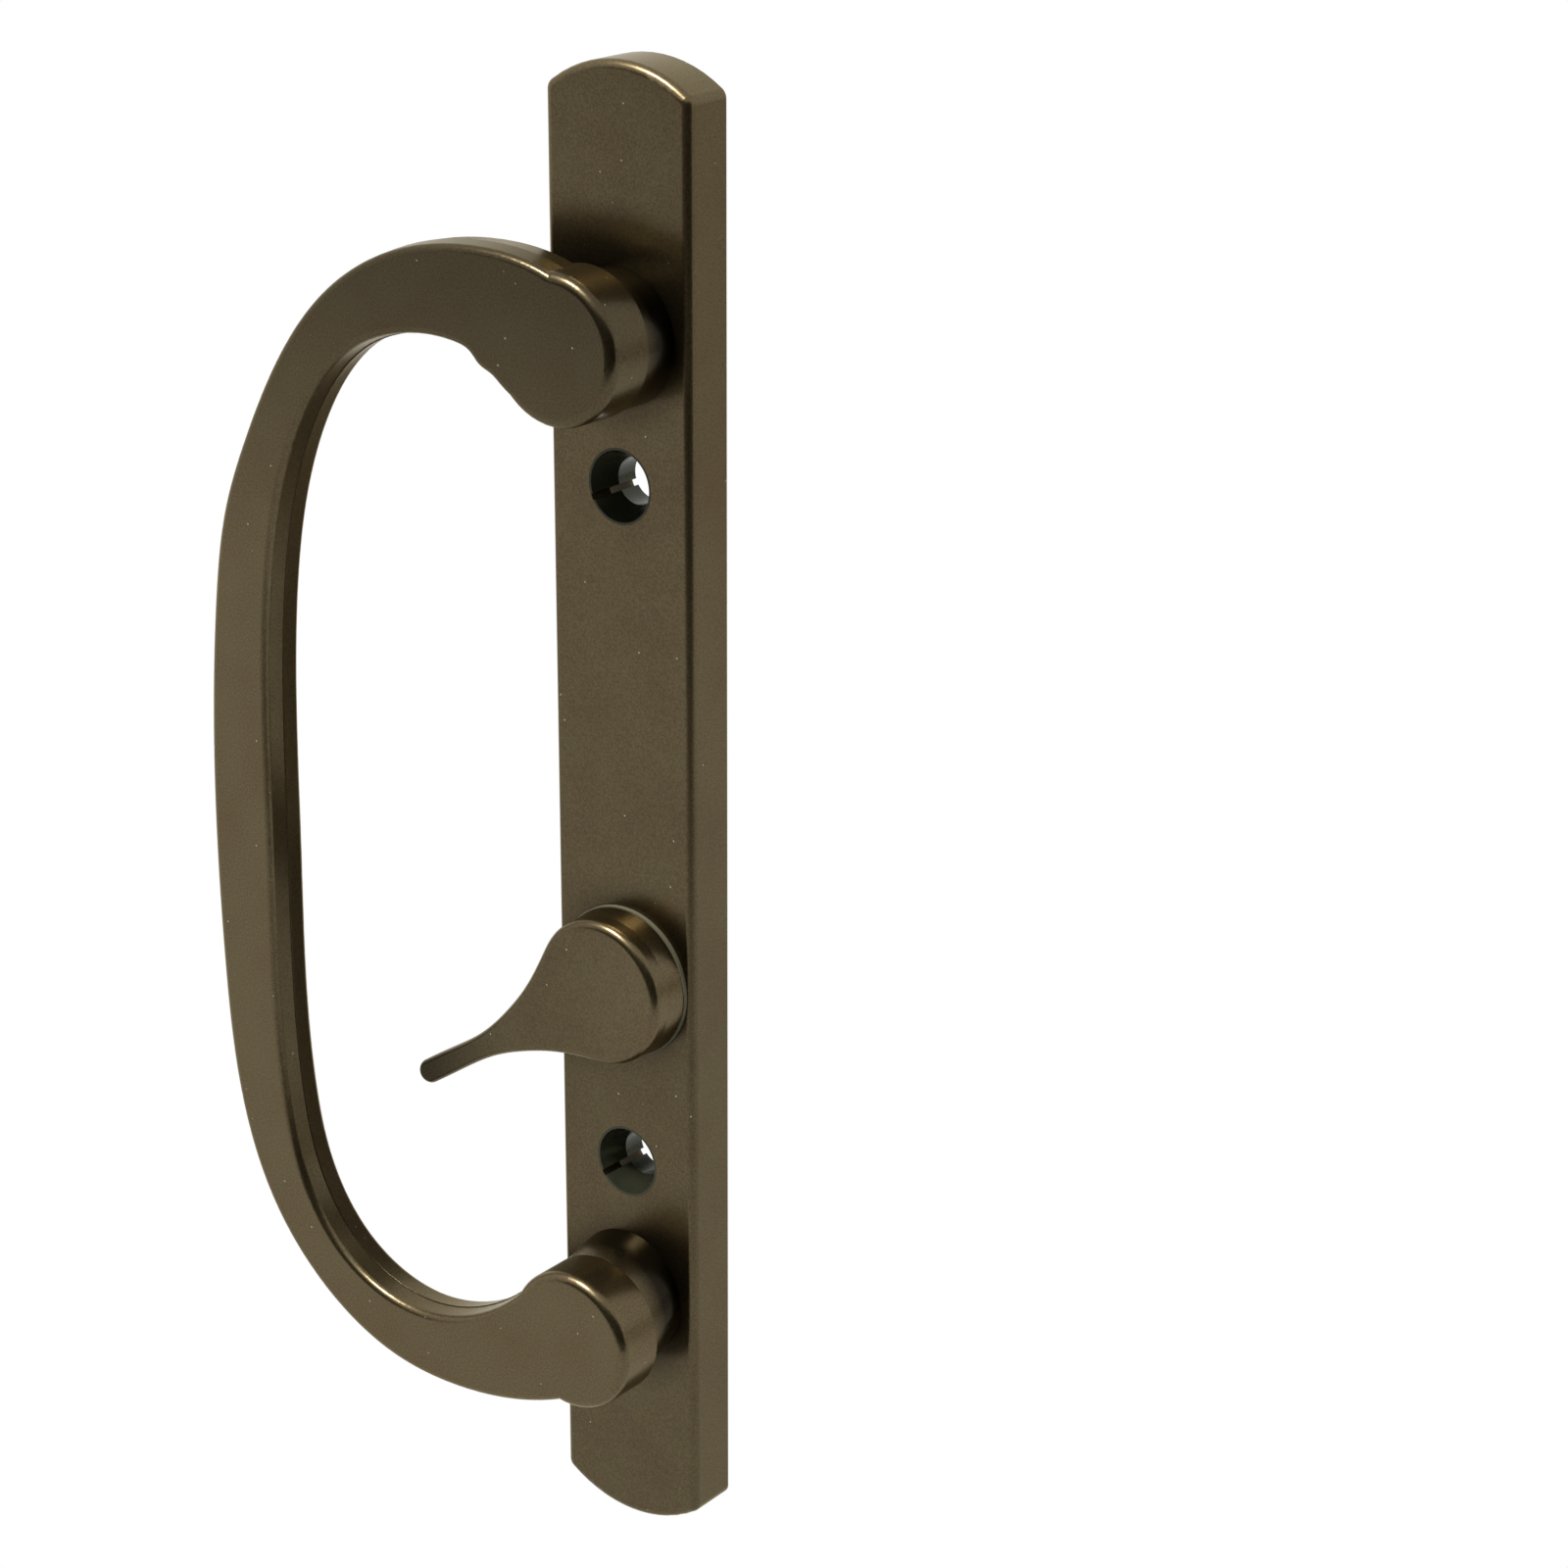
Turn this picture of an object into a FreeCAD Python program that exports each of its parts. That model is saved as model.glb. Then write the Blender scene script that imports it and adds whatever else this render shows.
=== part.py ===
import FreeCAD, Part
import math
import os

from FreeCAD import Vector

os.makedirs("parts", exist_ok=True)

# Frame: the door face is Y = 0, the handle stands out towards -Y, +Z runs up the plate,
# and the origin is midway between the two fixing holes. All sizes are in millimetres.

# Escutcheon plate: a die-cast shell, open at the back
plate_width = 24.1
plate_side = 206.2
plate_arch = 4.1
plate_depth = 8.0
plate_edge_round = 1.2
plate_corner_round = 1.6
front_wall = 2.4
rim_wall = 2.2
rib_wall = 1.6
rib_setback = 0.8
cross_ribs = (-92.8, -37.0, 0.0, 25.8, 92.8)

# Fixing holes, each lined with a split plastic cup
fixing_spacing = 100.0
fixing_boss_wall = 2.3
cup_mouth_d = 10.6
cup_shank_d = 8.8
cup_bore_d = 6.8
cup_lip = 0.3
cup_depth = 4.0
cup_seat_depth = 3.0
cup_slot = 0.9
cup_setback = 0.3
cup_clearance = 0.03
upper_slot_angle = 205.0
lower_slot_angle = 215.0

# Pull: a D-shaped bar between two round ends on posts
post_spacing = 141.2
post_d = 19.0
post_top_d = 19.4
grip_rise = 14.2
grip_reach = 65.3
end_d = 20.8
end_depth = 7.6
upper_end_shift = 0.6
lower_end_shift = 2.5
post_inset = 0.2
end_round = 1.4
bar_depth = 7.0
bar_draft = 4.5
bar_edge_round = 1.0
bar_back_round = 0.8

# Outline of the bar's front face: x as a share of the reach, z as a share of half the post spacing
outer_outline = (
    (0.077, 1.110), (-0.015, 1.155), (-0.208, 1.180), (-0.443, 1.139), (-0.608, 1.049),
    (-0.859, 0.718), (-0.926, 0.567), (-0.968, 0.368), (-0.994, -0.425), (-0.851, -0.984),
    (-0.521, -1.214), (-0.346, -1.235), (-0.070, -1.191), (0.077, -1.122),
)
inner_outline = (
    (0.000, 0.896), (-0.086, 0.898), (-0.135, 0.924), (-0.162, 0.943), (-0.195, 0.958),
    (-0.215, 0.977), (-0.262, 0.993), (-0.421, 0.987), (-0.528, 0.950), (-0.708, 0.753),
    (-0.809, 0.397), (-0.831, -0.170), (-0.814, -0.700), (-0.771, -0.866), (-0.662, -1.011),
    (-0.455, -1.089), (-0.138, -0.967), (-0.086, -0.922), (0.000, -0.908),
)

# Screws that hold the pull from behind the plate
screw_d = 5.0
screw_point = 0.6
screw_head_d = 9.0
screw_head_height = 2.7
screw_head_round = 1.2
screw_head_sink = 0.5
recess_depth = 1.5
recess_width = 5.4
recess_slot = 1.4
screw_clearance = 0.25
thread_clearance = 0.02
thread_runout = 1.2
thread_skin = 2.5
lock_washer_d = 9.2
lock_washer_thick = 1.2
lock_washer_gap = 1.4
lock_washer_slant = 12.0
post_boss_margin = 2.9

# Thumb lever: a teardrop with a round hub
lever_z = -21.8
lever_angle = 32.6
lever_rise = 6.6
lever_hub_r = 10.6
lever_hub_flare = 0.3
lever_leave_angle = 84.0
lever_length = 40.0
lever_tip_r = 1.8
blade_thick = 4.2
lever_edge_round = 1.2
lever_back_round = 0.6

# Half width of the lever: share of its length from the hub centre, share of the hub radius
lever_waist = ((0.171, 0.781), (0.316, 0.492), (0.462, 0.302), (0.635, 0.175), (0.785, 0.162))

# Lever shaft and the pieces that hold it in the plate
shaft_d = 9.0
shaft_chamfer = 0.5
running_clearance = 0.05
washer_clearance = 0.15
axial_play = 0.1
base_washer_lip = 0.15
base_washer_thick = 0.65
bush_wall = 1.5
bush_flange_lip = 1.45
bush_flange_thick = 0.9
hub_boss_margin = 1.0
hub_boss_setback = 4.6
washer_face = 2.5
wave_washer_thick = 0.3
wave_height = 0.5
wave_count = 3
wave_clearance = 0.4
thrust_washer_thick = 0.6
ring_face = 2.7
ring_thick = 0.8
ring_mouth = 12.6
ring_nose = 5.2
ring_throat = 6.6
ring_relief_d = 3.2
ring_relief_x = 3.5
ring_relief_z = 2.7
groove_depth = 0.9
groove_play = 0.05
groove_land = 0.95

# Tailpiece that turns the lock inside the door
tail_width = 7.0
tail_thick = 2.4
tail_length = 9.2
tail_slot_depth = 5.4
tail_clearance = 0.04
tail_chamfer = 1.2
tail_pin_d = 2.4
tail_pin_setback = 2.6
tail_pin_sink = 0.1

# Cutters and added bodies run this far past the faces that they open or join
over = 1.0

half_fixing = fixing_spacing / 2
half_post = post_spacing / 2
cavity_floor = -(plate_depth - front_wall)
boss_root = -(plate_depth - front_wall / 2)
fixing_boss_d = cup_shank_d + 2 * fixing_boss_wall

grip_front = -(plate_depth + grip_rise)
post_seat = -(screw_head_sink + screw_head_height + lock_washer_thick)
post_boss_d = lock_washer_d + 2 * post_boss_margin
screw_engagement = grip_rise - thread_skin - thread_runout
screw_hole_d = screw_d + 2 * screw_clearance

lever_front = -(plate_depth + lever_rise)
bush_bore_d = shaft_d + 2 * running_clearance
bush_d = bush_bore_d + 2 * bush_wall
bush_flange_d = bush_d + 2 * bush_flange_lip
hub_boss_d = bush_flange_d + 2 * hub_boss_margin
washer_bore_d = shaft_d + 2 * washer_clearance
washer_d = shaft_d + 2 * washer_face
wave_front = -hub_boss_setback + bush_flange_thick + groove_play
thrust_front = wave_front + wave_height + wave_washer_thick + groove_play
ring_front = thrust_front + thrust_washer_thick + groove_play
ring_back = ring_front + ring_thick
ring_d = shaft_d + 2 * ring_face
groove_d = shaft_d - 2 * groove_depth
slot_floor = ring_back + groove_play + groove_land
shaft_back = slot_floor + tail_slot_depth
pin_y = shaft_back - tail_pin_setback


def cylinder(d, y0, y1, x=0.0, z=0.0):
    return Part.makeCylinder(d / 2, y1 - y0, Vector(x, y0, z), Vector(0, 1, 0))


def tube(outer_d, inner_d, y0, y1, x=0.0, z=0.0):
    return cylinder(outer_d, y0, y1, x, z).cut(cylinder(inner_d, y0 - over, y1 + over, x, z))


def block(x0, x1, y0, y1, z0, z1):
    return Part.makeBox(x1 - x0, y1 - y0, z1 - z0, Vector(x0, y0, z0))


def turned(points, z=0.0):
    """Solid turned about an axis along Y at height z, from (radius, y) points."""
    profile = Part.makePolygon([Vector(r, y, z) for r, y in points + points[:1]])
    return Part.Face(profile).revolve(Vector(0, 0, z), Vector(0, 1, 0), 360)


def edges_at(shape, y):
    """Edges of a shape that lie wholly in the plane Y = y."""
    return [e for e in shape.Edges if abs(e.BoundBox.YMin - y) < 1e-3 and abs(e.BoundBox.YMax - y) < 1e-3]


def spline(points, start=None, finish=None):
    curve = Part.BSplineCurve()
    if start is None:
        curve.interpolate(Points=points)
    else:
        curve.interpolate(Points=points, InitialTangent=start, FinalTangent=finish)
    return curve


def one_solid(shape):
    clean = shape.removeSplitter()
    return clean.Solids[0] if len(clean.Solids) == 1 else clean


def turn_to_rest(shape):
    """Bring a piece modelled about the origin to the lever's axis, turned to its rest angle."""
    shape.rotate(Vector(0, 0, 0), Vector(0, 1, 0), -lever_angle)
    shape.translate(Vector(0, 0, lever_z))
    return one_solid(shape)


def arch_radius():
    return (plate_width ** 2 / 4 + plate_arch ** 2) / (2 * plate_arch)


def arch_centre():
    return plate_side / 2 + plate_arch - arch_radius()


def plate_block(inset, y0, y1):
    """Plate outline as a solid, set in by a wall: straight sides between two arched ends."""
    half = plate_width / 2 - inset
    r = arch_radius() - inset
    crown = arch_centre() + r
    shoulder = arch_centre() + math.sqrt(r ** 2 - half ** 2)
    right = [Vector(half, y0, -shoulder), Vector(half, y0, shoulder)]
    left = [Vector(-half, y0, shoulder), Vector(-half, y0, -shoulder)]
    outline = [
        Part.LineSegment(right[0], right[1]).toShape(),
        Part.Arc(right[1], Vector(0, y0, crown), left[0]).toShape(),
        Part.LineSegment(left[0], left[1]).toShape(),
        Part.Arc(left[1], Vector(0, y0, -crown), right[0]).toShape(),
    ]
    return Part.Face(Part.Wire(outline)).extrude(Vector(0, y1 - y0, 0))


def plate_outside():
    """Outside of the plate: small corner rounds, then one round all along the front edge."""
    body = plate_block(0, -plate_depth, 0)
    corners = [e for e in body.Edges if e.BoundBox.YLength > plate_depth / 2]
    body = body.makeFillet(plate_corner_round, corners)
    return body.makeFillet(plate_edge_round, edges_at(body, -plate_depth))


def cup_profile(outset):
    """Outside of the fixing cup as (radius, y) points, grown by a clearance."""
    return [
        (cup_mouth_d / 2 + outset, -plate_depth),
        (cup_shank_d / 2 + outset, -plate_depth + cup_seat_depth),
    ]


def fixing_hole(z):
    mouth, shank = cup_profile(cup_clearance)
    front = -plate_depth - over
    slope = (mouth[0] - shank[0]) / cup_seat_depth
    return turned([(0, front), (mouth[0] + slope * over, front), shank, (shank[0], over), (0, over)], z)


def plate_ribs():
    """One rib down the middle of the cavity and short ribs across it."""
    half = plate_width / 2 - rim_wall / 2
    end = plate_side / 2
    ribs = [block(-rib_wall / 2, rib_wall / 2, boss_root, -rib_setback, -end, end)]
    for z in cross_ribs:
        ribs.append(block(-half, half, boss_root, -rib_setback, z - rib_wall / 2, z + rib_wall / 2))
    return ribs


def escutcheon_plate():
    body = plate_outside().cut(plate_block(rim_wall, cavity_floor, over))
    inside = plate_ribs()
    inside += [cylinder(fixing_boss_d, boss_root, 0, 0, z) for z in (half_fixing, -half_fixing)]
    body = body.fuse(inside)
    # Pockets behind the posts and the hub keep the ribs off the screws, washers and ring.
    seats = [(half_post, post_boss_d, post_seat), (-half_post, post_boss_d, post_seat)]
    seats.append((lever_z, hub_boss_d, -hub_boss_setback))
    body = body.cut([cylinder(d, seat, over, 0, z) for z, d, seat in seats])
    body = body.fuse([cylinder(d, boss_root, seat, 0, z) for z, d, seat in seats])
    holes = [fixing_hole(half_fixing), fixing_hole(-half_fixing)]
    holes += [cylinder(screw_hole_d, -plate_depth - over, over, 0, z) for z in (half_post, -half_post)]
    holes.append(cylinder(bush_d, -plate_depth - over, over, 0, lever_z))
    return one_solid(body.cut(holes))


def fixing_cup(z, slot_angle):
    """Split plastic cup that lines a fixing hole; it ends just short of the door."""
    outside = cup_profile(0)
    back = -cup_setback
    bore = cup_bore_d / 2
    points = outside + [
        (outside[1][0], back),
        (bore, back),
        (bore, -plate_depth + cup_depth),
        (outside[0][0] - cup_lip, -plate_depth),
    ]
    cup = turned(points, z)
    slot = block(0, cup_mouth_d, -plate_depth - over, over, z - cup_slot / 2, z + cup_slot / 2)
    slot.rotate(Vector(0, 0, z), Vector(0, 1, 0), -slot_angle)
    return one_solid(cup.cut(slot))


def bar_points(outline, outward, grow):
    """Outline points in the XZ plane, moved square to the curve by a signed distance."""
    flat = [Vector(grip_reach * x, 0, half_post * z) for x, z in outline]
    curve = spline(flat)
    moved = []
    for p in flat:
        along = curve.tangent(curve.parameter(p))[0]
        side = Vector(-along.z, 0, along.x) * outward
        moved.append(p + side * grow)
    return moved


def bar_wire(y, grow):
    lift = Vector(0, y, 0)
    outer = spline([p + lift for p in bar_points(outer_outline, -1, grow)]).toShape()
    inner = spline([p + lift for p in bar_points(inner_outline, 1, grow)]).toShape()
    ends = [
        Part.LineSegment(outer.Vertexes[1].Point, inner.Vertexes[1].Point).toShape(),
        Part.LineSegment(inner.Vertexes[0].Point, outer.Vertexes[0].Point).toShape(),
    ]
    return Part.Wire([outer, ends[0], inner, ends[1]])


def grip_bar():
    """Bar with draft both ways from a parting line at half its depth, front and back edges rounded."""
    back = grip_front + bar_depth
    bulge = bar_depth / 2 * math.tan(math.radians(bar_draft))
    wires = [bar_wire(grip_front, 0), bar_wire((grip_front + back) / 2, bulge), bar_wire(back, 0)]
    bar = Part.makeLoft(wires, True, True)
    long_front = [e for e in edges_at(bar, grip_front) if e.Length > post_spacing]
    bar = bar.makeFillet(bar_edge_round, long_front)
    long_back = [e for e in edges_at(bar, back) if e.Length > post_spacing]
    return bar.makeFillet(bar_back_round, long_back)


def ring_wire(d, y, z):
    return Part.Wire([Part.makeCircle(d / 2, Vector(0, y, z), Vector(0, 1, 0))])


def grip_end(sign, shift):
    """Round end of the pull on its post, which leans out to meet it, nearly flush on the inner side."""
    back = grip_front + end_depth
    centre = half_post + shift
    head = cylinder(end_d, grip_front, back, 0, sign * centre)
    head = head.makeFillet(end_round, edges_at(head, grip_front))
    top_centre = centre - (end_d - post_top_d) / 2 + post_inset
    base = ring_wire(post_d, -plate_depth, sign * half_post)
    top = ring_wire(post_top_d, back, sign * top_centre)
    return head.fuse(Part.makeLoft([base, top], True, True))


def pull_grip():
    body = grip_bar().fuse([grip_end(1, upper_end_shift), grip_end(-1, lower_end_shift)])
    deep = -plate_depth - screw_engagement - thread_runout
    tapped_d = screw_d + 2 * thread_clearance
    holes = [cylinder(tapped_d, deep, -plate_depth + over, 0, z) for z in (half_post, -half_post)]
    return one_solid(body.cut(holes))


def grip_screw(z):
    """Pan-head screw driven from behind, with a cross recess."""
    seat = post_seat + lock_washer_thick
    back = seat + screw_head_height
    point = -plate_depth - screw_engagement
    shank = cylinder(screw_d, point, seat + screw_head_height / 2, 0, z)
    shank = shank.makeChamfer(screw_point, edges_at(shank, point))
    head = cylinder(screw_head_d, seat, back, 0, z)
    head = head.makeFillet(screw_head_round, edges_at(head, back))
    arm = recess_width / 2
    wing = recess_slot / 2
    cross = [
        block(-arm, arm, back - recess_depth, back + over, z - wing, z + wing),
        block(-wing, wing, back - recess_depth, back + over, z - arm, z + arm),
    ]
    return one_solid(shank.fuse(head).cut(cross))


def grip_lock_washer(z):
    """Split spring washer under the screw head, with a slanted gap."""
    back = post_seat + lock_washer_thick
    washer = tube(lock_washer_d, screw_hole_d, post_seat, back, 0, z)
    gap = block(-lock_washer_gap / 2, lock_washer_gap / 2, post_seat - over, back + over, z, z + lock_washer_d)
    gap.rotate(Vector(0, (post_seat + back) / 2, z), Vector(0, 0, 1), lock_washer_slant)
    return one_solid(washer.cut(gap))


def lever_outline(y):
    """Closed teardrop wire about the hub, pointing along -X before it is turned."""
    r = lever_hub_r
    tip = lever_length - lever_tip_r
    leave = math.radians(lever_leave_angle)
    start = Vector(-r * math.cos(leave), y, r * math.sin(leave))
    heading = Vector(-math.sin(leave), 0, -math.cos(leave))
    waist = [Vector(-lever_length * u, y, r * h) for u, h in lever_waist]
    end = Vector(-tip, y, lever_tip_r)
    upper = spline([start] + waist + [end], heading, Vector(-1, 0, 0)).toShape()
    mirror = [Vector(p.x, p.y, -p.z) for p in [start] + waist + [end]]
    lower = spline(mirror, Vector(heading.x, 0, -heading.z), Vector(-1, 0, 0)).toShape()
    nose = Part.Arc(end, Vector(-lever_length, y, 0), mirror[-1]).toShape()
    back = Part.Arc(start, Vector(r, y, 0), mirror[0]).toShape()
    return Part.Wire([upper, nose, lower, back])


def cross_pin(d, length):
    return Part.makeCylinder(d / 2, length, Vector(0, pin_y, -length / 2), Vector(0, 0, 1))


def lever_shaft():
    """Shaft with a groove for the retaining ring and a slot for the tailpiece."""
    shaft = cylinder(shaft_d, lever_front + blade_thick / 2, shaft_back)
    shaft = shaft.makeChamfer(shaft_chamfer, edges_at(shaft, shaft_back))
    groove = tube(2 * shaft_d, groove_d, ring_front - groove_play, ring_back + groove_play)
    half = tail_thick / 2 + tail_clearance
    slot = block(-shaft_d, shaft_d, slot_floor, shaft_back + over, -half, half)
    return shaft.cut([groove, slot, cross_pin(tail_pin_d, 2 * shaft_d)])


def thumb_lever():
    under = -plate_depth - base_washer_thick - axial_play
    blade = Part.Face(lever_outline(lever_front)).extrude(Vector(0, blade_thick, 0))
    blade = blade.makeFillet(lever_edge_round, edges_at(blade, lever_front))
    blade = blade.makeFillet(lever_back_round, edges_at(blade, lever_front + blade_thick))
    # The hub's cone starts inside the rounded front edge and comes out through the side of the blade.
    top = lever_front + lever_edge_round / 2
    narrow = lever_hub_r - lever_edge_round / 5
    hub = turned([(0, top), (narrow, top), (lever_hub_r + lever_hub_flare, under), (0, under)])
    return turn_to_rest(blade.fuse([hub, lever_shaft()]))


def lever_base_washer():
    outer_d = 2 * (lever_hub_r + lever_hub_flare + base_washer_lip)
    return one_solid(tube(outer_d, washer_bore_d, -plate_depth - base_washer_thick, -plate_depth, 0, lever_z))


def lever_bush():
    """Flanged bush pressed into the plate from behind; the lever shaft turns in it."""
    seat = -hub_boss_setback
    back = seat + bush_flange_thick
    sleeve = tube(bush_d, bush_bore_d, -plate_depth, back, 0, lever_z)
    flange = tube(bush_flange_d, bush_bore_d, seat, back, 0, lever_z)
    return one_solid(sleeve.fuse(flange))


def lever_wave_washer():
    """Wavy spring washer that gives the lever its drag."""
    steps = 12 * wave_count
    middle = wave_front + wave_height / 2
    rims = []
    for r in (shaft_d / 2 + wave_clearance, washer_d / 2):
        points = []
        for k in range(steps):
            turn = 2 * math.pi * k / steps
            lift = wave_height / 2 * math.sin(wave_count * turn)
            points.append(Vector(r * math.cos(turn), middle + lift, lever_z + r * math.sin(turn)))
        curve = Part.BSplineCurve()
        curve.interpolate(Points=points, PeriodicFlag=True)
        rims.append(curve.toShape())
    return Part.makeRuledSurface(rims[0], rims[1]).extrude(Vector(0, wave_washer_thick, 0))


def lever_thrust_washer():
    back = thrust_front + thrust_washer_thick
    return one_solid(tube(washer_d, washer_bore_d, thrust_front, back, 0, lever_z))


def lever_retaining_ring():
    """E-shaped ring snapped into the shaft groove."""
    y0 = ring_front - over
    y1 = ring_back + over
    ring = tube(ring_d, groove_d + 2 * thread_clearance, ring_front, ring_back)
    cuts = [
        block(-ring_mouth / 2, ring_mouth / 2, y0, y1, -ring_d, -ring_nose),
        block(-ring_throat / 2, ring_throat / 2, y0, y1, -ring_d, 0),
    ]
    cuts += [cylinder(ring_relief_d, y0, y1, x, ring_relief_z) for x in (-ring_relief_x, ring_relief_x)]
    return turn_to_rest(ring.cut(cuts))


def tailpiece():
    """Flat blade held in the shaft slot by a cross pin; it reaches into the lock."""
    front = slot_floor + tail_clearance
    back = front + tail_length
    half = tail_width / 2
    blade = block(-half, half, front, back, -tail_thick / 2, tail_thick / 2)
    corners = [e for e in edges_at(blade, back) if e.BoundBox.ZLength > tail_thick / 2]
    blade = blade.makeChamfer(tail_chamfer, corners)
    return turn_to_rest(blade.cut(cross_pin(tail_pin_d + 2 * thread_clearance, 2 * shaft_d)))


def tailpiece_pin():
    d = tail_pin_d - 2 * thread_clearance
    reach = math.sqrt(shaft_d ** 2 - d ** 2) - 2 * tail_pin_sink
    return turn_to_rest(cross_pin(d, reach))


parts = {
    "escutcheon_plate": escutcheon_plate(),
    "upper_fixing_cup": fixing_cup(half_fixing, upper_slot_angle),
    "lower_fixing_cup": fixing_cup(-half_fixing, lower_slot_angle),
    "pull_grip": pull_grip(),
    "upper_grip_screw": grip_screw(half_post),
    "lower_grip_screw": grip_screw(-half_post),
    "upper_grip_lock_washer": grip_lock_washer(half_post),
    "lower_grip_lock_washer": grip_lock_washer(-half_post),
    "thumb_lever": thumb_lever(),
    "lever_base_washer": lever_base_washer(),
    "lever_bush": lever_bush(),
    "lever_wave_washer": lever_wave_washer(),
    "lever_thrust_washer": lever_thrust_washer(),
    "lever_retaining_ring": lever_retaining_ring(),
    "tailpiece": tailpiece(),
    "tailpiece_pin": tailpiece_pin(),
}

for name, shape in parts.items():
    print(name, shape.ShapeType, len(shape.Solids), shape.isValid(), round(shape.Volume, 1))
    shape.exportStep("parts/" + name + ".step")
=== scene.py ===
import math
import bpy
from mathutils import Matrix, Vector


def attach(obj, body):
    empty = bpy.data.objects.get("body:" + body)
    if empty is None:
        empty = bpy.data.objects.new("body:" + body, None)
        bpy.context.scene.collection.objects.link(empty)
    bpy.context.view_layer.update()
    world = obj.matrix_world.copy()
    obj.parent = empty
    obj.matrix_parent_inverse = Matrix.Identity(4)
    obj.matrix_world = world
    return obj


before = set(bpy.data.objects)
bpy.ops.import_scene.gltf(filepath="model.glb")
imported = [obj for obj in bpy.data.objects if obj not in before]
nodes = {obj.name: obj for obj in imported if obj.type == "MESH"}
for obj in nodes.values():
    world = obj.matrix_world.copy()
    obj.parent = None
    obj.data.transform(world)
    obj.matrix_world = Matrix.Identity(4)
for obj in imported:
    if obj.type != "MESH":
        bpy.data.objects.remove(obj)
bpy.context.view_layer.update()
mm = 0.001
print("frame loaded:", len(nodes), "solids")


def linear(hexColour):  # sRGB hex to linear RGBA
    levels = [int(hexColour[i:i + 2], 16) / 255 for i in (1, 3, 5)]
    return [v / 12.92 if v <= 0.04045 else ((v + 0.055) / 1.055) ** 2.4 for v in levels] + [1.0]


def addNode(tree, kind, feeds=None, **settings):  # a feed is a socket to link from, or a plain value
    node = tree.nodes.new(kind)
    for name, value in settings.items():
        setattr(node, name, value)
    for key, value in (feeds or {}).items():
        if isinstance(value, bpy.types.NodeSocket):
            tree.links.new(value, node.inputs[key])
        else:
            node.inputs[key].default_value = value
    return node


def newMaterial(name):  # returns the material, its tree, its shader and the Object coordinates in mm
    material = bpy.data.materials.new(name)
    material.use_nodes = True
    tree = material.node_tree
    place = addNode(tree, "ShaderNodeTexCoord").outputs["Object"]
    inMm = addNode(tree, "ShaderNodeVectorMath", {0: place, "Scale": 1 / mm}, operation="SCALE")
    return material, tree, tree.nodes["Principled BSDF"], inMm.outputs["Vector"]


# Bronze flake lacquer, sprayed and baked on a zinc die casting: satin, reflects like a dark metal,
# drifts between olive and brown, and has the faint ripple of sprayed paint
bronze = {
    "flake": "#625941",
    "brown": "#5D4E38",
    "driftSize": 9.0,       # mm across a patch of one tint
    "driftDetail": 2.0,
    "speckSize": 0.30,      # mm, a real flake is 0.03 and is drawn coarser to show
    "speckDetail": 1.0,
    "speckRange": (0.3, 0.7),  # noise levels of the darkest and the lightest speck
    "speckDepth": 0.18,     # share by which a speck is darker or lighter
    "nib": "#A89F8B",       # pale specks of dust under the lacquer
    "nibGap": 3.2,          # mm between them on average, through the whole body
    "nibSize": 0.13,        # mm
    "paintedShade": "#1D1911",     # painted shade: a dark colour painted into the recesses and between parts, where contact shadow falls
    "paintedShadeReach": 8.0,      # mm from a neighbour to where the painted shade ends
    "paintedShadeRange": (0.26, 0.87),  # openness at which the painted shade is full, and at which it is gone
    "paintedShadeSamples": 12,
    "peelSize": 1.5,        # mm between ripples
    "peelDetail": 1.0,
    "peelHeight": 0.0022,   # mm
    "roughness": 0.29,
    "roughDrift": 0.05,
    "metallic": 0.97,
    "edge": "#F8F0DC",      # tint at a slanting look, warm where a bare metal turns white
    "coat": 0.10,           # a thin clear coat
    "coatRoughness": 0.14,
}


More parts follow.
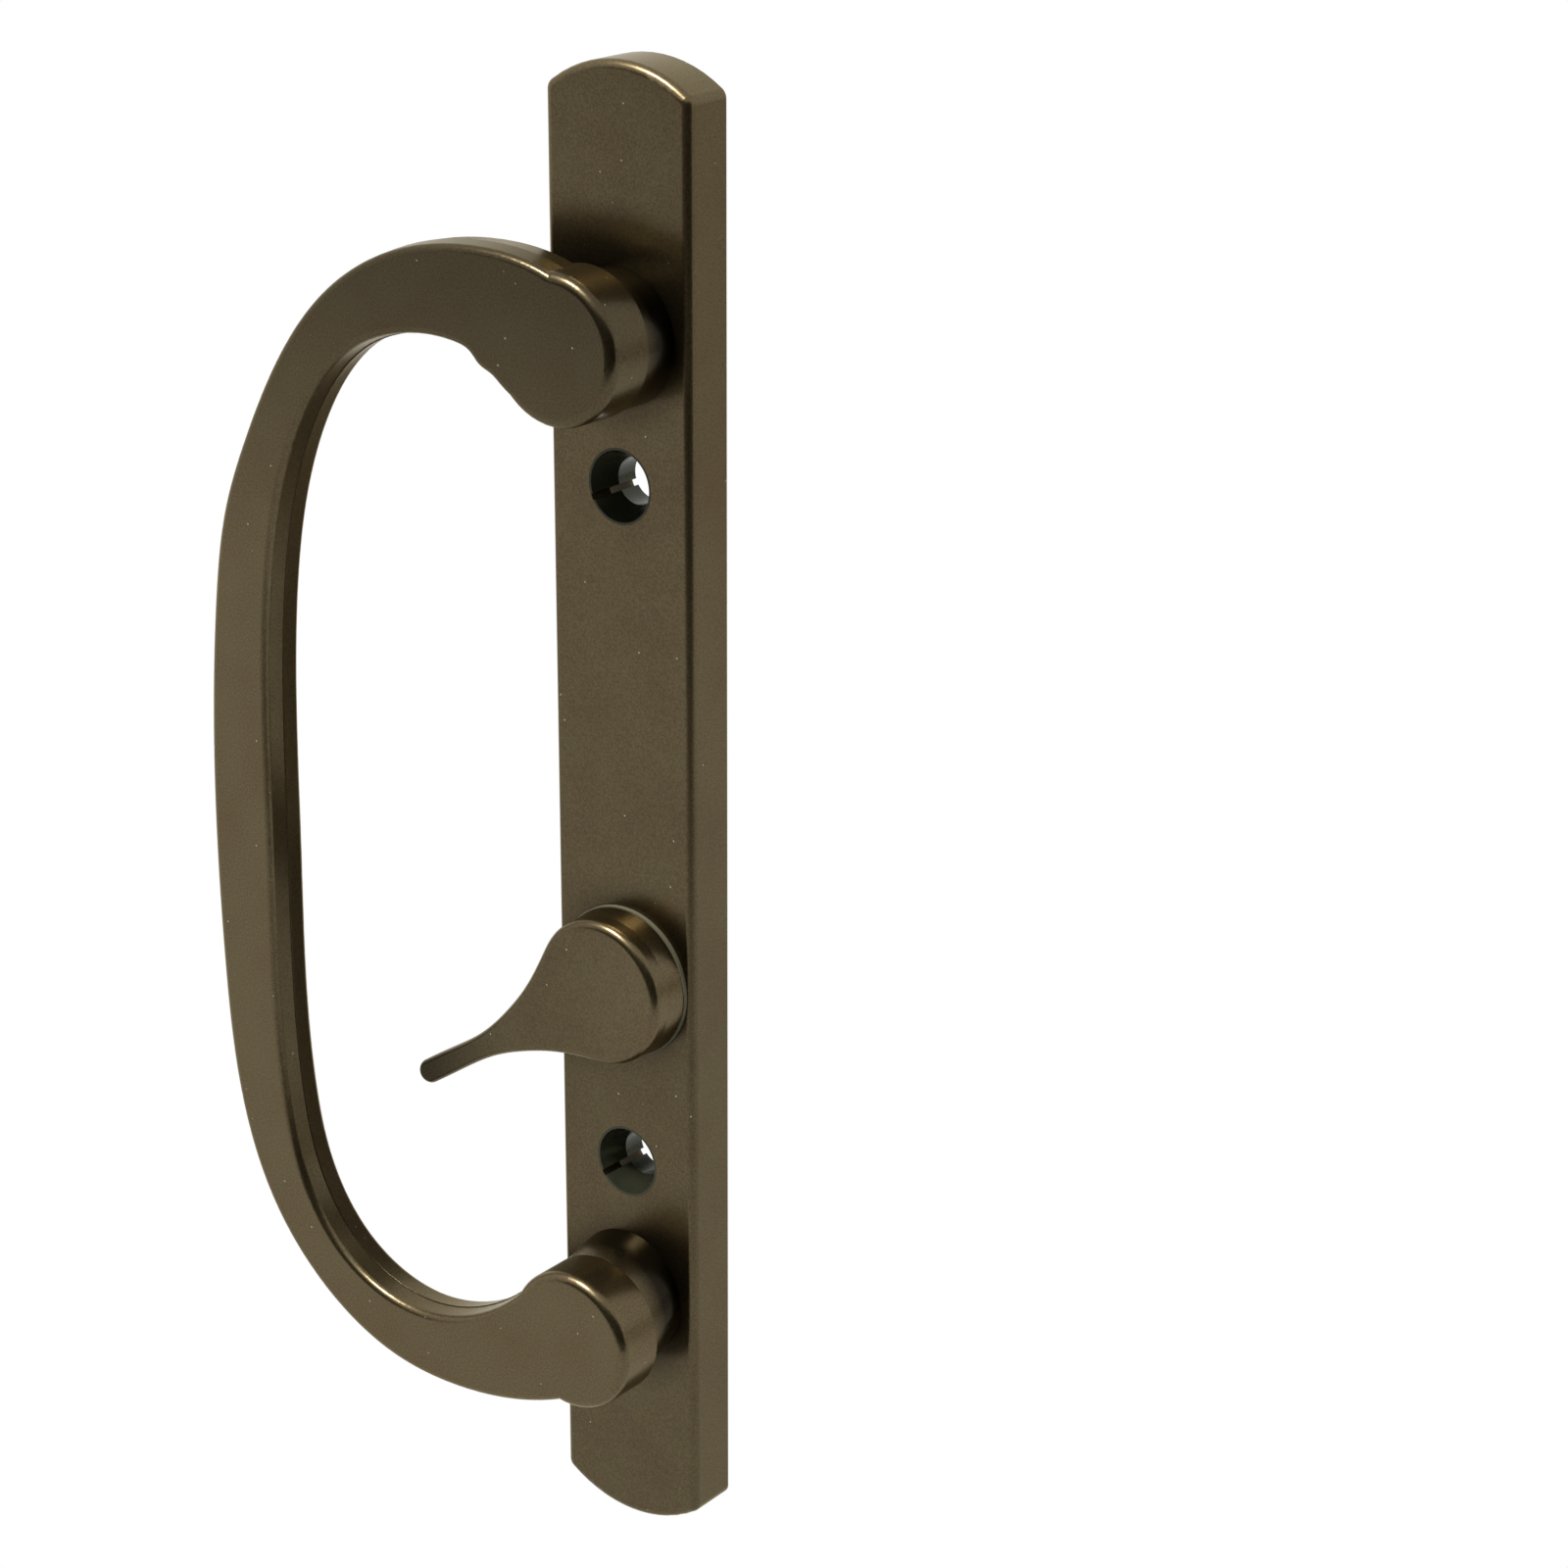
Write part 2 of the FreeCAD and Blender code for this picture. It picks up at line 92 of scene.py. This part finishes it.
def bronzeLacquer(name, look, shadeFades=()):
    material, tree, shader, inMm = newMaterial(name)
    drift = addNode(tree, "ShaderNodeTexNoise", {"Vector": inMm, "Scale": 1 / look["driftSize"],
                                                 "Detail": look["driftDetail"]})
    tint = addNode(tree, "ShaderNodeMix", {"Factor": drift.outputs["Fac"], "A": linear(look["flake"]),
                                           "B": linear(look["brown"])}, data_type="RGBA")
    speck = addNode(tree, "ShaderNodeTexNoise", {"Vector": inMm, "Scale": 1 / look["speckSize"],
                                                 "Detail": look["speckDetail"]})
    dark, light = look["speckRange"]
    share = addNode(tree, "ShaderNodeMapRange", {"Value": speck.outputs["Fac"],
                                                 "From Min": dark, "From Max": light,
                                                 "To Min": 1 - look["speckDepth"],
                                                 "To Max": 1 + look["speckDepth"]})
    colour = addNode(tree, "ShaderNodeVectorMath", {0: tint.outputs["Result"],
                                                    "Scale": share.outputs["Result"]}, operation="SCALE")
    # Painted shade: each fade darkens the colour along one axis, where shade and dark reflections fall
    for axis, start, end, left in shadeFades:  # mm where a fade starts and ends, share of the colour left
        reach = addNode(tree, "ShaderNodeSeparateXYZ", {"Vector": inMm}).outputs[axis]
        fade = addNode(tree, "ShaderNodeMapRange", {"Value": reach, "From Min": start, "From Max": end,
                                                    "To Min": 1.0, "To Max": left})
        colour = addNode(tree, "ShaderNodeVectorMath", {0: colour.outputs["Vector"],
                                                        "Scale": fade.outputs["Result"]},
                         operation="SCALE")
    cells = addNode(tree, "ShaderNodeTexVoronoi", {"Vector": inMm, "Scale": 1 / look["nibGap"]})
    dust = addNode(tree, "ShaderNodeMath", {0: cells.outputs["Distance"],
                                            1: look["nibSize"] / look["nibGap"]}, operation="LESS_THAN")
    colour = addNode(tree, "ShaderNodeMix", {"Factor": dust.outputs["Value"], "A": colour.outputs["Vector"],
                                             "B": linear(look["nib"])}, data_type="RGBA")
    # Painted shade: the colour turns to the dark shade colour in recesses and between parts, where contact
    # shadow falls
    recess = addNode(tree, "ShaderNodeAmbientOcclusion", {"Distance": look["paintedShadeReach"] * mm},
                     samples=look["paintedShadeSamples"])
    full, gone = look["paintedShadeRange"]
    unshaded = addNode(tree, "ShaderNodeMapRange", {"Value": recess.outputs["AO"], "From Min": full,
                                                "From Max": gone})
    shaded = addNode(tree, "ShaderNodeMix", {"Factor": unshaded.outputs["Result"], "A": linear(look["paintedShade"]),
                                             "B": colour.outputs["Result"]}, data_type="RGBA")
    rough = addNode(tree, "ShaderNodeMapRange", {"Value": drift.outputs["Fac"],
                                                 "To Min": look["roughness"] - look["roughDrift"],
                                                 "To Max": look["roughness"] + look["roughDrift"]})
    peel = addNode(tree, "ShaderNodeTexNoise", {"Vector": inMm, "Scale": 1 / look["peelSize"],
                                                "Detail": look["peelDetail"]})
    bump = addNode(tree, "ShaderNodeBump", {"Height": peel.outputs["Fac"],
                                            "Distance": look["peelHeight"] * mm})
    tree.links.new(shaded.outputs["Result"], shader.inputs["Base Color"])
    tree.links.new(rough.outputs["Result"], shader.inputs["Roughness"])
    tree.links.new(bump.outputs["Normal"], shader.inputs["Normal"])
    shader.inputs["Metallic"].default_value = look["metallic"]
    shader.inputs["Specular Tint"].default_value = linear(look["edge"])
    shader.inputs["Coat Weight"].default_value = look["coat"]
    shader.inputs["Coat Roughness"].default_value = look["coatRoughness"]
    return material


# Black nylon, injection moulded: deep and glossy, with the soft flow marks of the mould
cupNylon = {
    "body": "#22231A",
    "flow": "#2B2B20",
    "flowSize": 2.2,        # mm across a flow mark
    "flowDetail": 3.0,
    "roughness": 0.24,
    "roughDrift": 0.06,
    "shine": "#CFD4B4",     # tint of the gloss
}
# White acetal, turned: waxy and pale, faintly clouded
bushAcetal = {
    "body": "#DAD7CC",
    "flow": "#CFCABB",
    "flowSize": 3.0,
    "flowDetail": 3.0,
    "roughness": 0.46,
    "roughDrift": 0.05,
    "shine": "#FFFFFF",
}
# Grey acetal, stamped from sheet: dull, shows as a pale line under the lever
washerAcetal = {
    "body": "#66624F",
    "flow": "#5A5645",
    "flowSize": 6.0,
    "flowDetail": 3.0,
    "roughness": 0.5,
    "roughDrift": 0.05,
    "shine": "#E4E2CE",
}


def mouldedPlastic(name, look):
    material, tree, shader, inMm = newMaterial(name)
    flow = addNode(tree, "ShaderNodeTexNoise", {"Vector": inMm, "Scale": 1 / look["flowSize"],
                                                "Detail": look["flowDetail"]})
    tint = addNode(tree, "ShaderNodeMix", {"Factor": flow.outputs["Fac"], "A": linear(look["body"]),
                                           "B": linear(look["flow"])}, data_type="RGBA")
    rough = addNode(tree, "ShaderNodeMapRange", {"Value": flow.outputs["Fac"],
                                                 "To Min": look["roughness"] - look["roughDrift"],
                                                 "To Max": look["roughness"] + look["roughDrift"]})
    tree.links.new(tint.outputs["Result"], shader.inputs["Base Color"])
    tree.links.new(rough.outputs["Result"], shader.inputs["Roughness"])
    shader.inputs["Specular Tint"].default_value = linear(look["shine"])
    return material


# Steel, zinc plated and passivated: pale, a little blue and straw by turns, fine tumbling marks
zincPlate = {
    "light": "#C6CBD2",
    "straw": "#C9C2A8",
    "patch": 4.0,           # mm across a patch of one tint
    "patchDetail": 3.0,
    "scratch": 0.35,        # mm between marks
    "scratchDetail": 2.0,
    "roughness": 0.34,
    "roughDrift": 0.12,
}
# Spring steel, oil tempered: dark blue-grey with a brown cast in patches
oilTemper = {
    "light": "#4E5157",
    "straw": "#4A4238",
    "patch": 2.5,
    "patchDetail": 3.0,
    "scratch": 0.30,
    "scratchDetail": 2.0,
    "roughness": 0.42,
    "roughDrift": 0.12,
}


def workedSteel(name, look):
    material, tree, shader, inMm = newMaterial(name)
    patch = addNode(tree, "ShaderNodeTexNoise", {"Vector": inMm, "Scale": 1 / look["patch"],
                                                 "Detail": look["patchDetail"]})
    tint = addNode(tree, "ShaderNodeMix", {"Factor": patch.outputs["Fac"], "A": linear(look["light"]),
                                           "B": linear(look["straw"])}, data_type="RGBA")
    marks = addNode(tree, "ShaderNodeTexNoise", {"Vector": inMm, "Scale": 1 / look["scratch"],
                                                 "Detail": look["scratchDetail"]})
    rough = addNode(tree, "ShaderNodeMapRange", {"Value": marks.outputs["Fac"],
                                                 "To Min": look["roughness"] - look["roughDrift"],
                                                 "To Max": look["roughness"] + look["roughDrift"]})
    tree.links.new(tint.outputs["Result"], shader.inputs["Base Color"])
    tree.links.new(rough.outputs["Result"], shader.inputs["Roughness"])
    shader.inputs["Metallic"].default_value = 1.0
    return material


# Painted shade: the colour is darkened toward the plate's foot, on the necks behind the pull's round ends
# and on its upper arm, and toward the lever's tip, where shade and dark reflections fall. Each fade is an
# axis, mm where it starts and ends, and the share of the colour left
plateShadeFades = [("Z", 95.0, -30.0, 0.82)]
pullShadeFades = [("Y", -15.2, -11.5, 0.12), ("Z", 35.0, 78.0, 0.55)]
leverShadeFades = [("X", 11.0, -10.0, 0.80), ("X", -16.0, -31.0, 0.32)]

ownFinishes = {  # pieces with a finish of their own
    "escutcheon_plate": bronzeLacquer("bronze flake lacquer, on the plate", bronze, plateShadeFades),
    "pull_grip": bronzeLacquer("bronze flake lacquer, on the pull", bronze, pullShadeFades),
    "thumb_lever": bronzeLacquer("bronze flake lacquer, on the lever", bronze, leverShadeFades),
    "lever_base_washer": mouldedPlastic("grey acetal, stamped", washerAcetal),
}
slotFinishes = {  # the rest, by the record's slots, for which each solid's first material is named
    "cup_plastic": mouldedPlastic("black nylon, moulded", cupNylon),
    "bush_plastic": mouldedPlastic("white acetal, turned", bushAcetal),
    "zinc_steel": workedSteel("steel, zinc plated", zincPlate),
    "spring_steel": workedSteel("spring steel, oil tempered", oilTemper),
}
for name, solid in nodes.items():
    slots = solid.data.materials
    slots[0] = ownFinishes[name] if name in ownFinishes else slotFinishes[slots[0].name]
print("finishes:", len(ownFinishes) + len(slotFinishes))


# Parting seam: the fine dark ridge that the two die halves leave along the inside of the pull
seam = {
    "at": -18.7,            # mm, depth of the parting plane
    "near": 0.02,           # mm from it within which an edge counts as the seam
    "middle": (-22.0, -18.7, -2.0),  # mm, a point inside the loop, which the inner side faces
    "weld": 0.002,          # mm within which two points of the pull are one
    "radius": 0.11,         # mm, half sunk
    "sides": 6,
    "flake": "#463D2B",
    "brown": "#3E3525",
}


def seamTree(look):
    tree = bpy.data.node_groups.new("parting seam", "GeometryNodeTree")
    tree.interface.new_socket("Pull", in_out="INPUT", socket_type="NodeSocketObject")
    tree.interface.new_socket("Finish", in_out="INPUT", socket_type="NodeSocketMaterial")
    tree.interface.new_socket("Mesh", in_out="OUTPUT", socket_type="NodeSocketGeometry")
    given = addNode(tree, "NodeGroupInput").outputs
    casting = addNode(tree, "GeometryNodeObjectInfo", {"Object": given["Pull"]})
    whole = addNode(tree, "GeometryNodeMergeByDistance", {"Geometry": casting.outputs["Geometry"],
                                                          "Distance": look["weld"] * mm})
    # edges that lie on the parting plane and whose side faces the middle of the loop
    place = addNode(tree, "GeometryNodeInputPosition").outputs["Position"]
    depth = addNode(tree, "ShaderNodeSeparateXYZ", {"Vector": place}).outputs["Y"]
    onPlane = addNode(tree, "FunctionNodeCompare", {"A": depth, "B": look["at"] * mm,
                                                    "Epsilon": look["near"] * mm},
                      data_type="FLOAT", operation="EQUAL")
    inward = addNode(tree, "ShaderNodeVectorMath", {0: Vector(look["middle"]) * mm, 1: place},
                     operation="SUBTRACT")
    facing = addNode(tree, "GeometryNodeInputNormal").outputs["Normal"]
    toward = addNode(tree, "ShaderNodeVectorMath", {0: inward.outputs["Vector"], 1: facing},
                     operation="DOT_PRODUCT")
    inside = addNode(tree, "FunctionNodeCompare", {"A": toward.outputs["Value"], "B": 0.0},
                     data_type="FLOAT", operation="GREATER_THAN")
    wanted = addNode(tree, "FunctionNodeBooleanMath", {0: onPlane.outputs[0], 1: inside.outputs[0]})
    kept = addNode(tree, "GeometryNodeSeparateGeometry", {"Geometry": whole.outputs["Geometry"],
                                                          "Selection": wanted.outputs[0]}, domain="EDGE")
    # a thin round ridge along them
    line = addNode(tree, "GeometryNodeMeshToCurve", {"Mesh": kept.outputs["Selection"]})
    ring = addNode(tree, "GeometryNodeCurvePrimitiveCircle", {"Resolution": look["sides"],
                                                              "Radius": look["radius"] * mm})
    ridge = addNode(tree, "GeometryNodeCurveToMesh", {"Curve": line.outputs["Curve"],
                                                      "Profile Curve": ring.outputs["Curve"],
                                                      "Fill Caps": True})
    real = addNode(tree, "GeometryNodeRealizeInstances", {"Geometry": ridge.outputs["Mesh"]})
    painted = addNode(tree, "GeometryNodeSetMaterial", {"Geometry": real.outputs["Geometry"],
                                                        "Material": given["Finish"]})
    addNode(tree, "NodeGroupOutput", {"Mesh": painted.outputs["Geometry"]})
    return tree


def makeSeam():
    # Bronze lacquer, pooled and gone dark: a thin line, darker than the rest, with a soft shine
    pooled = dict(bronze, flake=seam["flake"], brown=seam["brown"], coat=0.0)
    finish = bronzeLacquer("bronze lacquer, pooled in the seam", pooled)
    host = bpy.data.objects.new("seam host", bpy.data.meshes.new("seam host"))
    bpy.context.scene.collection.objects.link(host)
    maker = host.modifiers.new("seam", "NODES")
    maker.node_group = seamTree(seam)
    sockets = {s.name: s.identifier for s in maker.node_group.interface.items_tree if s.in_out == "INPUT"}
    maker[sockets["Pull"]] = nodes["pull_grip"]
    maker[sockets["Finish"]] = finish
    ready = host.evaluated_get(bpy.context.evaluated_depsgraph_get())
    mesh = bpy.data.meshes.new_from_object(ready)
    bpy.data.objects.remove(host)
    piece = bpy.data.objects.new("parting_seam", mesh)
    bpy.context.scene.collection.objects.link(piece)
    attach(piece, "handle")
    return piece


print("parting seam:", len(makeSeam().data.polygons), "faces")


# The studio: a white floor, a white surround and a dark wall in front, as a satin metal needs to
# show its form, and grey cards behind that the inner side of the pull mirrors
studio = {
    "floorDrop": 0.25,          # m from the origin down to the floor
    "floorReach": 4.0,
    "floorShade": "#F2F1EE",
    "surround": 0.6,            # level of the surround's light on matt surfaces
    "roomNear": (0.50, -0.385),  # m, two points that the dark room's wall passes through
    "roomFar": (-1.16, -1.63),
    "roomPast": 0.9,            # m by which the wall runs on past each
    "roomTop": 0.5,
    "roomShade": "#383532",
    "flagBehind": 0.014,        # m from the door's face back to the grey cards
    "flags": {                  # m, left and right edge, foot and head, and the shade
        "flag": {"across": (-0.052, -0.014), "span": (-0.024, 0.084), "shade": "#8A8376"},
        "low flag": {"across": (-0.046, -0.014), "span": (-0.078, -0.024), "shade": "#625D52"},
        "side flag": {"across": (-0.014, 0.018), "span": (-0.039, -0.021), "shade": "#5A554B"},
    },
    "duskAt": (0.62, 0.85),     # m, foot of a grey card far behind, on the right
    "duskWide": 0.8,            # m from its middle to each end
    "duskTop": 0.05,
    "duskShade": "#DEDBD4",
}


def seenByEye(tree):  # 1 for what the camera, a mirror or glass sees, 0 for light on matt surfaces
    rays = addNode(tree, "ShaderNodeLightPath").outputs
    seen = rays["Is Camera Ray"]
    for other in ("Is Glossy Ray", "Is Transmission Ray"):
        seen = addNode(tree, "ShaderNodeMath", {0: seen, 1: rays[other]}, operation="MAXIMUM").outputs[0]
    return seen


def flatSheet(name, corners, material):
    mesh = bpy.data.meshes.new(name)
    mesh.from_pydata(corners, [], [tuple(range(len(corners)))])
    mesh.materials.append(material)
    sheet = bpy.data.objects.new(name, mesh)
    bpy.context.scene.collection.objects.link(sheet)
    return sheet


def makeFloor():
    material = bpy.data.materials.new("studio floor, matt paper")
    material.use_nodes = True
    tree = material.node_tree
    tree.nodes.remove(tree.nodes["Principled BSDF"])
    paper = addNode(tree, "ShaderNodeBsdfDiffuse", {"Color": linear(studio["floorShade"])})
    white = addNode(tree, "ShaderNodeEmission", {"Strength": 1.0})
    mix = addNode(tree, "ShaderNodeMixShader", {0: seenByEye(tree), 1: paper.outputs[0],
                                                2: white.outputs[0]})
    tree.links.new(mix.outputs[0], tree.nodes["Material Output"].inputs["Surface"])
    far, drop = studio["floorReach"], -studio["floorDrop"]
    corners = [(-far, -far, drop), (far, -far, drop), (far, far, drop), (-far, far, drop)]
    flatSheet("floor", corners, material)


def hiddenCard(name, shade, corners):  # a card that mirrors and light see, but not the camera
    material = bpy.data.materials.new(name + ", felt")
    material.use_nodes = True
    felt = material.node_tree.nodes["Principled BSDF"]
    felt.inputs["Base Color"].default_value = linear(shade)
    felt.inputs["Roughness"].default_value = 1.0
    flatSheet(name, corners, material).visible_camera = False


def upright(a, b, low, high):  # corners of an upright sheet over the line from a to b
    return [(a[0], a[1], low), (b[0], b[1], low), (b[0], b[1], high), (a[0], a[1], high)]


def makeCards():
    floor = -studio["floorDrop"]
    near, far = Vector(studio["roomNear"]), Vector(studio["roomFar"])
    along = (far - near).normalized() * studio["roomPast"]
    hiddenCard("room", studio["roomShade"], upright(near - along, far + along, floor, studio["roomTop"]))
    for name, flag in studio["flags"].items():
        left, right = ((x, studio["flagBehind"]) for x in flag["across"])
        hiddenCard(name, flag["shade"], upright(left, right, *flag["span"]))
    foot = Vector(studio["duskAt"])
    across = Vector((foot.y, -foot.x)).normalized() * studio["duskWide"]
    corners = upright(foot - across, foot + across, floor, studio["duskTop"])
    hiddenCard("dusk", studio["duskShade"], corners)


def makeSurround():
    world = bpy.data.worlds.new("white surround")
    world.use_nodes = True
    tree = world.node_tree
    level = addNode(tree, "ShaderNodeMapRange", {"Value": seenByEye(tree), "To Min": studio["surround"]})
    tree.nodes["Background"].inputs["Color"].default_value = (1, 1, 1, 1)
    tree.links.new(level.outputs["Result"], tree.nodes["Background"].inputs["Strength"])
    bpy.context.scene.world = world


# One soft lamp overhead, in front and to the left: the glint along the edges that face up
overhead = {
    "at": (-0.21, -0.48, 0.90),  # m
    "size": (0.28, 0.20),
    "watts": 16.0,
}


def makeLamp():
    light = bpy.data.lights.new("overhead", "AREA")
    light.shape = "RECTANGLE"
    light.size, light.size_y = overhead["size"]
    light.energy = overhead["watts"]
    holder = bpy.data.objects.new("overhead", light)
    holder.location = overhead["at"]
    holder.rotation_euler = (-Vector(overhead["at"])).to_track_quat("-Z", "Y").to_euler()
    bpy.context.scene.collection.objects.link(holder)


makeFloor()
makeCards()
makeSurround()
makeLamp()
print("studio: floor, cards, surround and lamp")


# The camera, solved on the photograph
view = {
    "at": (312.58, -398.53, 186.30),  # mm
    "yaw": 36.12,           # degrees to the left of straight ahead
    "pitch": 19.68,         # degrees down
    "roll": 0.23,
    "lens": 88.05,          # mm
    "sensor": 36.0,
    "nearest": 0.01,        # m
}


def makeCamera():
    yaw, pitch, roll = (math.radians(view[k]) for k in ("yaw", "pitch", "roll"))
    ahead = Vector((-math.sin(yaw) * math.cos(pitch), math.cos(yaw) * math.cos(pitch), -math.sin(pitch)))
    level = Vector((math.cos(yaw), math.sin(yaw), 0))
    plumb = level.cross(ahead)
    right = math.cos(roll) * level + math.sin(roll) * plumb
    up = math.cos(roll) * plumb - math.sin(roll) * level
    lens = bpy.data.cameras.new("camera")
    lens.lens = view["lens"]
    lens.sensor_width = view["sensor"]
    lens.clip_start = view["nearest"]
    camera = bpy.data.objects.new("camera", lens)
    turn = Matrix((right, up, -ahead)).transposed().to_4x4()
    camera.matrix_world = Matrix.Translation(Vector(view["at"]) * mm) @ turn
    bpy.context.scene.collection.objects.link(camera)
    bpy.context.scene.camera = camera


makeCamera()
bpy.context.scene.view_settings.view_transform = "Standard"
print("camera set")
